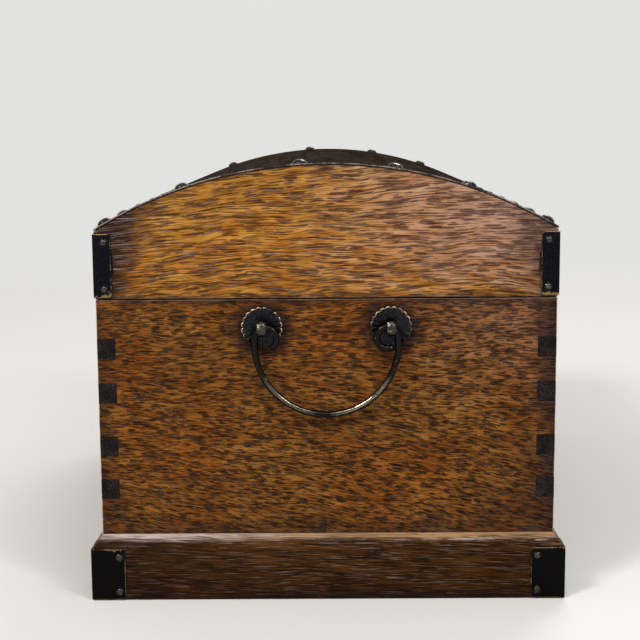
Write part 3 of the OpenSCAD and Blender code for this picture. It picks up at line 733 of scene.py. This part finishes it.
def buildBody():
    levels = fingerLevels("front_board")
    feet, tops = levels[0::2], levels[1::2]
    fingers = list(zip(feet, tops))
    gaps = list(zip([bodyFoot - over] + tops, feet + [bodyTop + over]))
    for side, name in ((-1, "left_end_board"), (1, "right_end_board")):
        piece = carve(nodeBlock(name), notches(fingers, (side,), (-1, 1), inX - over, inY))
        woodenBoard(name, piece, "chest", bodyEndWood, bodyEdgeWood, cutAcross)
    for side, name in ((-1, "front_board"), (1, "back_board")):
        piece = carve(nodeBlock(name), notches(gaps, (-1, 1), (side,), inX, inY - over))
        woodenBoard(name, piece, "chest", longWood, bodyEdgeWood, cutAlong)
    woodenBoard("bottom_board", nodeBlock("bottom_board"), "chest", bottomWood, bodyEdgeWood,
                lambda c, n: abs(n.x) > 0.9)


buildBody()
print("body boards ready")

plinth = Named(
    slope=6 * mm,  # height of the sloping top
    round=1.1 * mm,  # rounding at the slope's two edges
    slices=150,  # crosswise cuts that the chips need
    chip=0.5 * mm,
    chipReach=3.2 * mm,  # how far above and below the slope's lower edge chips go
    chipSize=7 * mm,
    chipFrom=0.12,
    edge=0.25 * mm,
)


def plinthMember(name, side, alongX):
    low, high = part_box(name)
    run, out = (0, 1) if alongX else (1, 0)  # the axes along the member and out from the chest
    outer = abs(low[out]) if side < 0 else high[out]
    body = halfDepth if alongX else halfLength
    lip = high.z - plinth.slope  # the slope's lower edge
    piece = nodeBlock(name)

    def spot(along, away, z=0):
        return Vector((along, side * away, z) if alongX else (side * away, along, z))

    trim(piece, spot(0, body, high.z), spot(0, plinth.slope, outer - body))
    addPaints(piece, plinthLongWood if alongX else plinthEndWood, plinthEdgeWood)
    bevelWhere(piece, "EDGE", lambda c, d: abs(d[run]) > 0.9 and c.z > lip - near
               and abs(c[out]) > body - near, plinth.round, 4)
    choose(piece, "EDGE", lambda c, d: abs(d[run]) > 0.99)
    bpy.ops.mesh.subdivide(number_cuts=plinth.slices)
    leaveEdit()
    for corner in piece.data.vertices:  # worn most along the slope's lower edge
        share = 1 - min(1, abs(corner.co.z - lip) / plinth.chipReach)
        if share > 0 and abs(corner.co[out]) > body - 2 * near:
            hollow = noise.fractal(corner.co / plinth.chipSize, 1.0, 2.0, 3) - plinth.chipFrom
            corner.co -= corner.normal * plinth.chip * share * max(0.0, hollow)
    for end in (-1, 1):  # the mitres
        trim(piece, spot(end * high[run], outer), spot(end, -1))
    soften(piece, plinth.edge, angle=50)
    smooth(piece, 30)
    finishPiece(piece, "chest", name)


for name, side, alongX in (("plinth_front", -1, True), ("plinth_back", 1, True),
                           ("plinth_left", -1, False), ("plinth_right", 1, False)):
    plinthMember(name, side, alongX)
print("plinth ready")

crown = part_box("lid_cover")[1].z
rise = Named(cover=30.5 * mm, thickness=1 * mm, gap=0.15 * mm, facets=720)
arcRadius = (halfDepth ** 2 + rise.cover ** 2) / (2 * rise.cover)
arcZ = crown - arcRadius
woodRadius = arcRadius - rise.thickness - rise.gap


def arched(name, startX, length, radius, halfWidth, fill):  # the dome's curve, drawn out along the chest
    piece = ring(name, (startX, 0, arcZ), radius, rise.facets, fill, True)
    for point, normal in (((0, 0, lidFoot), (0, 0, -1)), ((0, halfWidth, 0), (0, 1, 0)),
                          ((0, -halfWidth, 0), (0, -1, 0))):
        trim(piece, point, normal, fill=False)
    editAll(piece)
    bpy.ops.mesh.extrude_region_move(TRANSFORM_OT_translate={"value": (length, 0, 0)})
    faceOut()
    return piece


def wornCopy(node, body, paints, width, angle=35, smoothAngle=40):  # the node's own shape, worn
    piece = linked(bpy.data.objects.new(node + "_worn", nodes[node].data.copy()))
    editAll(piece)
    bpy.ops.mesh.remove_doubles(threshold=1e-6)
    bpy.ops.mesh.dissolve_limited(angle_limit=math.radians(1))
    leaveEdit()
    addPaints(piece, *paints)
    soften(piece, width, angle=angle)
    smooth(piece, smoothAngle)
    finishPiece(piece, body, node)


def buildLidEnd(name, side, foot, top):
    low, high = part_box(name)
    piece = arched(name + "_worn", low.x, high.x - low.x, woodRadius, halfDepth, "NGON")
    carve(piece, notches([(foot, top)], (side,), (-1, 1), inX - over, inY))
    woodenBoard(name, piece, "lid", lidEndWood, lidEdgeWood, cutAcross)


def buildRail(name, side, foot, top):
    low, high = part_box(name)
    outer, inner = (Vector((0, side * y, arcZ + math.sqrt(woodRadius ** 2 - y ** 2)))
                    for y in (halfDepth, inY))
    slope = outer - inner
    piece = trim(nodeBlock(name), outer, Vector((0, -slope.z, slope.y)) * side)
    carve(piece, notches([(low.z - over, foot), (top, high.z + over)], (-1, 1), (side,), inX, inY - over))
    woodenBoard(name, piece, "lid", lidLongWood, lidEdgeWood, cutAlong)


def buildLid():
    levels = fingerLevels("lid_front_rail")
    for build, names in ((buildLidEnd, ("lid_left_end", "lid_right_end")),
                         (buildRail, ("lid_front_rail", "lid_back_rail"))):
        for side, name in zip((-1, 1), names):
            build(name, side, levels[0], levels[-1])
    for number in range(1, 7):
        wornCopy(f"lid_stave_{number}", "lid", (staveWood, endGrainWood), board.staveEdge,
                 angle=40, smoothAngle=35)


buildLid()
print("lid boards ready")

cover = Named(
    overhang=0.4 * mm,
    inset=0.05 * mm,  # at the long edges
    slices=140,  # along the chest
    unevenness=0.16 * mm,
    ragged=0.3 * mm,  # the ends aren't cut dead straight
    raggedFrom=0.985,  # from this share of the half length on
    edge=0.18 * mm,
)


def onTopOfEdge(x, y, z, wearAndHighlight, grit):  # painted highlight along the top of the skin's edge, broken up like wear, and painted shade below it
    height = distance(y, z - arcZ / mm) - arcRadius / mm
    return (height + (grit - 0.5) * 0.4).fade(-0.62, -0.4)


coverEdgeLook = Named(edgeLook, cloud=0.09, gritShare=0.3, start=0.42, where=onTopOfEdge, specular=0.2)


def buildCover():
    half = halfLength + cover.overhang
    middle = arcRadius - rise.thickness / 2
    piece = arched("cover_skin", -half, 2 * half, middle, halfDepth - cover.inset, "NOTHING")
    choose(piece, "EDGE", lambda c, d: abs(d.x) > 0.9)
    bpy.ops.mesh.subdivide(number_cuts=cover.slices)
    faceOut()
    for corner in piece.data.vertices:
        share = max(0.0, abs(corner.co.x) / half - cover.raggedFrom) / (1 - cover.raggedFrom)
        cut = cover.ragged * share * abs(noise.noise(corner.co / (9 * mm)))
        corner.co.x -= math.copysign(cut, corner.co.x)
    modify(piece, "SOLIDIFY", thickness=rise.thickness, offset=0, use_even_offset=True)
    roughen(piece, cover.unevenness, 26 * mm, lambda co: math.hypot(co.y, co.z - arcZ) > middle)
    edgeWood = wornPaint("cover_edge_wood", coverEdgeLook, (24, 19, 16), (132, 120, 108))
    addPaints(piece, coverWood, edgeWood)
    setSlot(piece, 1, lambda c, n: abs(n.x) > 0.7 or (abs(c.y) > halfDepth - 3 * near and n.z < 0.5))
    soften(piece, cover.edge, 1)
    smooth(piece, 40)
    finishPiece(piece, "lid", "lid_cover")


buildCover()
print("cover ready")

nails = Named(
    skirt=((0.2, 1.16), (-0.2, 1.1)),  # steps of the rim that runs out round a head
    coverHead=(7 * mm, 2.1 * mm, 0.12 * mm, nailIron),  # width, height, depth of the dents, finish
    smallHead=(3.0 * mm, 0.64 * mm, 0.05 * mm, smallNailIron),
    cornerAngle=math.asin((halfDepth - boardThickness / 2) / arcRadius),
    arcPlaces=(-1, -0.63, -0.11, 0.3, 0.63, 1),
    edgeGaps=6,
)


def domedNail(head, dome, dent, paint):  # head up +Z, its rim just under the plane z = 0
    bpy.ops.mesh.primitive_uv_sphere_add(segments=28, ring_count=18, radius=head / 2)
    piece = added("nail")
    for corner in piece.data.vertices:
        corner.co.z *= dome / (head / 2)
    trim(piece, (0, 0, -0.12 * dome), (0, 0, -1))
    choose(piece, "EDGE", lambda c, d: c.z < -0.1 * dome and abs(d.z) < 0.01)
    for height, share in nails.skirt:
        drawOut(0, 0, height * dome)
        widen(share)
    leaveEdit()
    roughen(piece, dent, head * 0.3)
    addPaints(piece, paint)
    return smooth(piece, 50)


def nailSpot(point, facing):  # a nail's matrix, from its point and the way it faces
    turn = Vector(facing).to_track_quat("Z", "Y").to_matrix().to_4x4()
    spin = Matrix.Rotation(random.uniform(0, 2 * math.pi), 4, "Z")
    lean = Matrix.Rotation(random.uniform(-0.06, 0.06), 4, "X")
    size = Matrix.Scale(random.uniform(0.96, 1.0), 4)
    return Matrix.Translation(point) @ turn @ lean @ spin @ size


def nailGroup(name, kind, places, body, node):
    nail = domedNail(*nails[kind])
    group = joined(name, [copyOf(nail, "nail", nailSpot(*place)) for place in places])
    discard(nail)
    finishPiece(group, body, node)


def coverNailPlaces():
    def onArc(x, angle):
        facing = Vector((0, math.sin(angle), math.cos(angle)))
        return Vector((x, 0, arcZ)) + facing * arcRadius, facing

    ends, angle, gaps = halfLength - boardThickness / 2, nails.cornerAngle, nails.edgeGaps
    return [onArc(side * ends, share * angle) for side in (-1, 1) for share in nails.arcPlaces] \
        + [onArc((2 * i / gaps - 1) * ends, y * angle) for i in range(1, gaps) for y in (-1, 1)]


nailGroup("cover_nails", "coverHead", coverNailPlaces(), "lid", "lid_cover_nails")
print("cover nails ready")

bracket = Named(
    plate=0.8 * mm,
    bend=0.9 * mm,  # outer radius of the bend round the corner
    corner=1.5 * mm,
    nailEnd=4.2 * mm,  # from a bracket's end to its nail
    stagger=3 * mm,
    nailEdge=3 * mm,  # from a plinth bracket's side edge to its nails
    edge=0.38 * mm,
)


def cornerOf(node):  # which corner a bracket is on and how far out its faces are
    low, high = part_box(node)
    sides = [1 if value > 0 else -1 for value in (high.x, high.y)]
    return low, high, *sides, max(abs(low.x), abs(high.x)), max(abs(low.y), abs(high.y))


def cornerPlate(node, body, iron):
    low, high, sx, sy, outX, outY = cornerOf(node)
    legX, legY = min(abs(low.x), abs(high.x)), min(abs(low.y), abs(high.y))
    plateX, plateY = outX - bracket.plate, outY - bracket.plate
    bpy.ops.mesh.primitive_plane_add(size=1, rotation=(0, math.pi / 2, 0),
                                     location=(sx * plateX, sy * (legY + plateY) / 2, (low.z + high.z) / 2))
    bpy.context.object.scale = (high.z - low.z, plateY - legY, 1)
    piece = added(node + "_worn")
    choose(piece, "EDGE", lambda c, d: abs(d.z) > 0.9 and abs(c.y) > plateY - near)
    drawOut(sx * (legX - plateX), 0, 0)
    leaveEdit()
    bevelWhere(piece, "VERT", lambda c, n: abs(c.x) < plateX - near or abs(c.y) < plateY - near,
               bracket.corner, 3)
    tidyMesh(piece)
    facing = piece.data.polygons[0].normal.dot(Vector((sx, sy, 0)))
    modify(piece, "SOLIDIFY", thickness=bracket.plate, offset=1 if facing > 0 else -1,
           use_even_offset=True)
    bevelWhere(piece, "EDGE", lambda c, d: abs(d.z) > 0.9 and abs(c.x) > outX - near
               and abs(c.y) > outY - near, bracket.bend, 4)
    tidyMesh(piece)
    addPaints(piece, iron, plateRim)
    soften(piece, bracket.edge, angle=50)
    smooth(piece, 40)
    finishPiece(piece, body, node)


def bracketNailPlaces(node, kind):
    low, high, sx, sy, outX, outY = cornerOf(node)
    leg = high.x - low.x
    inset = boardThickness / 2 + bracket.plate
    if kind == "plinth_bracket":
        inset = leg - bracket.nailEdge
    places = []
    for z, shift in ((low.z + bracket.nailEnd, 1), (high.z - bracket.nailEnd, -1)):
        places += [((sx * outX, sy * (outY - inset), z), (sx, 0, 0)),
                   ((sx * (outX - inset), sy * outY, z + shift * bracket.stagger), (0, sy, 0))]
    return places


def buildBrackets():
    corners = ("front_left", "front_right", "back_left", "back_right")
    for kind, body, iron in (("plinth_bracket", "chest", plinthPlateIron),
                             ("lid_bracket", "lid", lidPlateIron)):
        places = []
        for corner in corners:
            node = f"{kind}_{corner}"
            cornerPlate(node, body, iron)
            places += bracketNailPlaces(node, kind)
        nailGroup(kind + "_nail_heads", "smallHead", places, body, kind + "_nails")


buildBrackets()
print("brackets ready")

handle = Named(
    lobes=20,
    lobeSteps=12,  # points round each lobe
    # radius and height of each ring of the dish, from the board outwards and in to the middle
    rings=((9.5, 0.0), (9.85, 1.1), (9.95, 1.75), (9.8, 2.12), (9.45, 2.2), (9.0, 2.08), (8.3, 1.84),
           (7.2, 1.56), (6.0, 1.32), (4.8, 1.14), (3.5, 1.02), (2.2, 1.0), (1.32, 1.02), (1.3, 0.4)),
    rim=10 * mm,
    scallop=0.95 * mm,  # depth of the notches between lobes
    flute=0.55 * mm,
    fluteFrom=0.9 * mm,  # what is lower stays even
    gold=(1.2 * mm, 0.958),  # the rim shines above this height and outside this share of its width
    spacing=61.6 * mm,
    wire=3.2 * mm,
    curl=5.2 * mm,
    curlInset=1.8 * mm,
    leg=2.7 * mm,
    turns={-1: 212, 1: 290},  # how far each end is curled, in degrees
    tails={-1: ((1.6, 1),), 1: ()},  # the straight bit after the curl, as length and narrowing
    tip=((0.55, 0.86), (0.45, 0.62), (0.25, 0.5)),
    eyeWire=1.8 * mm,
    eyeRing=3.0 * mm,
    eyeOut=4.9 * mm,
    eyeFlat=2.5,  # the eye's wire is hammered this much wider
    neck=(2.4 * mm, 10.4 * mm, 0.6 * mm),  # thickness, length, how far it runs into the wire
    collar=(4.2 * mm, 0.7 * mm, 1.25 * mm),  # width, thickness, height over the board
    clench=(14 * mm, 2 * mm, 1.2 * mm),
    rosetteTurn=9,
)


def lobeCrest(co):  # 1 in the middle of a lobe, 0 between two
    return abs(math.cos(handle.lobes / 2 * math.atan2(co.y, co.x))) ** 0.6


def buildRosette():  # a dish, drawn ring by ring from its rim and scalloped
    outer, notch = handle.rim, handle.scallop
    radius, height = handle.rings[0]
    piece = ring("rosette", (0, 0, height * mm), radius * mm, handle.lobes * handle.lobeSteps)
    editAll(piece)
    for wider, higher in handle.rings[1:]:
        drawOut(0, 0, (higher - height) * mm)
        widen(wider / radius)
        radius, height = wider, higher
    leaveEdit()
    for corner in piece.data.vertices:
        crest = lobeCrest(corner.co)
        share = math.hypot(corner.co.x, corner.co.y) / outer
        share = max(0.0, min(1.0, (share - 0.45) / 0.5)) ** 1.7
        corner.co.xy *= 1 - share * notch * (1 - crest) / outer
        if corner.co.z > handle.fluteFrom:
            corner.co.z += share * handle.flute * (crest - 1)
    tidyMesh(piece)
    addPaints(piece, rosetteIron, rosetteRim)
    height, share = handle.gold
    setSlot(piece, 1, lambda c, n: c.z > height
            and math.hypot(c.x, c.y) > share * (outer - notch * (1 - lobeCrest(c))))
    roughen(piece, 0.08 * mm, 2.4 * mm, lambda co: math.hypot(co.x, co.y) > 2 * mm)
    return smooth(piece, 60)


def buildEye():  # a loop of flattened wire, its neck and collar, and the clenched tails inside
    radius, out = handle.eyeRing, handle.eyeOut
    bpy.ops.mesh.primitive_torus_add(major_segments=44, minor_segments=14, major_radius=radius,
                                     minor_radius=handle.eyeWire / 2, rotation=(math.pi / 2, 0, 0),
                                     location=(0, 0, out))
    loop = added("eye")
    for corner in loop.data.vertices:
        corner.co.y *= handle.eyeFlat
    roughen(loop, 0.28 * mm, 1.3 * mm)
    inner = out - radius - handle.eyeWire / 2
    thickness, length, sunk = handle.neck
    neck = rod("eye", (0, 0, inner + sunk - length / 2), thickness / 2, length, 20)
    width, thickness, height = handle.collar
    collar = rod("eye", (0, 0, height), width / 2, thickness, 28)
    length, width, thickness = handle.clench
    clench = block("eye", (-length / 2, -width / 2, -boardThickness - thickness),
                   (length / 2, width / 2, -boardThickness))
    for part in (collar, clench):
        soften(part, 0.25 * mm, edgeSlot=-1)
    piece = joined("eye", [loop, neck, collar, clench])
    addPaints(piece, eyeIron)
    return smooth(piece, 50)


def buildBail():  # in the plane of the bow: X along the chest's depth, Y up, Z outwards
    curl, leg = handle.curl, handle.leg
    bow = handle.spacing / 2 - handle.curlInset + curl
    drop = math.sqrt(curl ** 2 - handle.curlInset ** 2)
    halves = []
    for end in (-1, 1):  # each half runs from the middle of the bow to its curled, rounded tip
        turn = math.radians(handle.turns[end])
        middle = Vector((end * (bow - curl), -drop, 0))
        ahead = Vector((-end * math.sin(turn), math.cos(turn), 0))
        tip = middle + Vector((end * math.cos(turn), math.sin(turn), 0)) * curl
        piece = ring("bail", (0, -drop - leg - bow, 0), handle.wire / 2, 20, acrossX=True)
        editAll(piece)
        bpy.ops.mesh.spin(steps=40, angle=-end * math.pi / 2, center=(0, -drop - leg, 0), axis=(0, 0, 1))
        drawOut(0, leg, 0)
        bpy.ops.mesh.spin(steps=int(turn / 0.1), angle=-end * turn, center=middle, axis=(0, 0, 1))
        for step, width in handle.tails[end] + handle.tip:
            drawOut(*(ahead * step * mm))
            tip = tip + ahead * step * mm
            widen(width, width, tip)
        bpy.ops.mesh.edge_face_add()
        leaveEdit()
        halves.append(piece)
    piece = joined("bail", halves)
    tidyMesh(piece)
    roughen(piece, 0.09 * mm, 5 * mm)
    addPaints(piece, wireIron)
    return smooth(piece, 60)


def buildHandles():
    rosette, eye, bail = buildRosette(), buildEye(), buildBail()
    low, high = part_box("right_rosette_front")
    eyeHeight = (low.z + high.z) / 2
    upright = Matrix(((0, 0, 1), (1, 0, 0), (0, 1, 0))).to_4x4()  # bow's X to Y, Y to Z, Z to X
    turn = Matrix.Rotation(math.radians(handle.rosetteTurn), 4, "Z")
    for side, end in ((-1, "left"), (1, "right")):
        facing = Matrix(((0, 0, side), (0, 1, 0), (-side, 0, 0))).to_4x4()  # local Z outwards
        for y, place in ((-1, "front"), (1, "back")):
            spot = Matrix.Translation((side * halfLength, y * handle.spacing / 2, eyeHeight)) @ facing
            for original, kind, slot, at in ((rosette, "rosette", "iron", spot @ turn),
                                             (eye, "eye", "handle_wire", spot)):
                node = f"{end}_{kind}_{place}"
                finishPiece(copyOf(original, node + "_worn", at), "chest", node)
        spot = Matrix.Translation((side * (halfLength + handle.eyeOut), 0, eyeHeight)) @ upright
        finishPiece(copyOf(bail, end + "_bail_worn", spot), end + "_handle", end + "_bail")
    for original in (rosette, eye, bail):
        discard(original)


buildHandles()
print("handles ready")

hinge = Named(inset=70 * mm, width=36 * mm, leaf=18 * mm, thickness=1.2 * mm, relief=2.8 * mm,
              nailInset=5 * mm, nailSide=2.7 * mm, worn=0.2 * mm)


def leafNailPlaces(up):
    jointZ = (lidFoot + bodyTop) / 2
    heights = (hinge.nailInset, hinge.leaf - hinge.nailInset / 2)
    return [((side * (halfLength - hinge.inset) + end * (hinge.width / 2 - hinge.nailSide),
              halfDepth + hinge.thickness, jointZ + up * (hinge.relief + z)), (0, 1, 0))
            for side in (-1, 1) for end in (-1, 1) for z in heights]


sides = (("body", "chest", -1), ("lid", "lid", 1))      # part, what it rides on, and down or up
for side in ("left", "right"):
    wornCopy(f"hinge_body_leaf_{side}", "chest", (plateIron, plateRim), hinge.worn)
    wornCopy(f"hinge_lid_leaf_{side}", "lid", (plateIron, plateRim), hinge.worn)
    wornCopy(f"hinge_pin_{side}", "chest", (nailIron, plateRim), hinge.worn)
for part, body, up in sides:
    nailGroup(f"hinge_{part}_nail_heads", "smallHead", leafNailPlaces(up), body, f"hinge_{part}_nails")
print("hinges ready")

lock = Named(diameter=46 * mm, thickness=1.2 * mm, nailEdge=4 * mm, plateEdge=0.25 * mm,
             tongueEdge=0.3 * mm)


def lockNailPlaces(up):
    reach = lock.diameter / 2 - lock.nailEdge
    return [((reach * math.cos(angle), -halfDepth - lock.thickness,
              bodyTop + up * reach * math.sin(angle)), (0, -1, 0))
            for angle in map(math.radians, (30, 90, 150))]


for part, body, up in sides:
    wornCopy(f"lock_plate_{part}", body, (rosetteIron, lockRim), lock.plateEdge)
wornCopy("lock_tongue", "tongue", (tongueBrass, lockRim), lock.tongueEdge)
wornCopy("tongue_pin", "lid", (nailIron, plateRim), hinge.worn)
for part, body, up in sides:
    nailGroup(f"lock_{part}_nail_heads", "smallHead", lockNailPlaces(up), body, f"lock_plate_{part}_nails")
print("lock ready")

studio = Named(
    floorRadius=6.0,
    near=550,  # up to here the floor is plain paper, in millimetres
    far=1600,  # from here on it has the backdrop's tone
    floor=(222, 221, 218),
    floorLight=(225, 224, 221),
    backdrop=(226, 226, 224),
    worldStrength=0.5,
    # name, place, size, power, colour
    lamps=(("key", (1.5, -1.25, 1.7), (0.6, 0.6), 32, (1.0, 0.965, 0.92)),
           ("strip", (1.05, 0.1, 1.3), (1.5, 0.1), 8, (1.0, 0.98, 0.95)),
           ("fill", (1.5, 1.3, 1.5), (0.55, 0.55), 12, (0.95, 0.97, 1.0)),
           ("rim", (-1.7, 0.6, 1.9), (1.2, 1.2), 26, (1.0, 0.98, 0.96))),
    aim=(0.12, 0, 0.12),
)


def floorPaint():  # plain paper near the chest, the backdrop's own tone further off
    paint = Paint("studio_paper")
    x, y, z = paint.axes
    away = distance(x, y).fade(studio.near, studio.far)
    grain = paint.cloud(0.004, 3.0)
    paper = paint.blend(grain, studio.floor, studio.floorLight)
    paper = paint.shader(paper, roughness=1.0, specular=0.0)
    backdrop = paint.node("ShaderNodeEmission", {}, {"Color": studio.backdrop, "Strength": 1.0})
    return paint.show(paint.node("ShaderNodeMixShader", {},
                                 {0: away * paint.seenRays(), 1: paper, 2: backdrop}))


def buildStudio():
    sweep = ring("studio_floor", (0, 0, -0.2 * mm), studio.floorRadius, 96, "NGON")
    addPaints(sweep, floorPaint())
    world = bpy.data.worlds.new("studio_light")
    bpy.context.scene.world = world
    world.use_nodes = True
    light = Nodes(world.node_tree)
    dim, plain = (light.node("ShaderNodeBackground", {},
                             {"Color": studio.backdrop, "Strength": strength})
                  for strength in (studio.worldStrength, 1.0))
    mixed = light.node("ShaderNodeMixShader", {}, {0: light.seenRays(), 1: dim, 2: plain})
    light.made("ShaderNodeOutputWorld", {}, {"Surface": mixed})
    for name, place, size, power, colour in studio.lamps:
        data = bpy.data.lights.new(name, "AREA")
        data.shape = "ELLIPSE" if size[0] == size[1] else "RECTANGLE"
        data.size, data.size_y = size
        data.energy = power
        data.color = colour
        lamp = linked(bpy.data.objects.new(name, data))
        lamp.location = place
        lamp.rotation_mode = "QUATERNION"
        lamp.rotation_quaternion = (Vector(studio.aim) - Vector(place)).to_track_quat("-Z", "Y")


buildStudio()
print("studio ready")
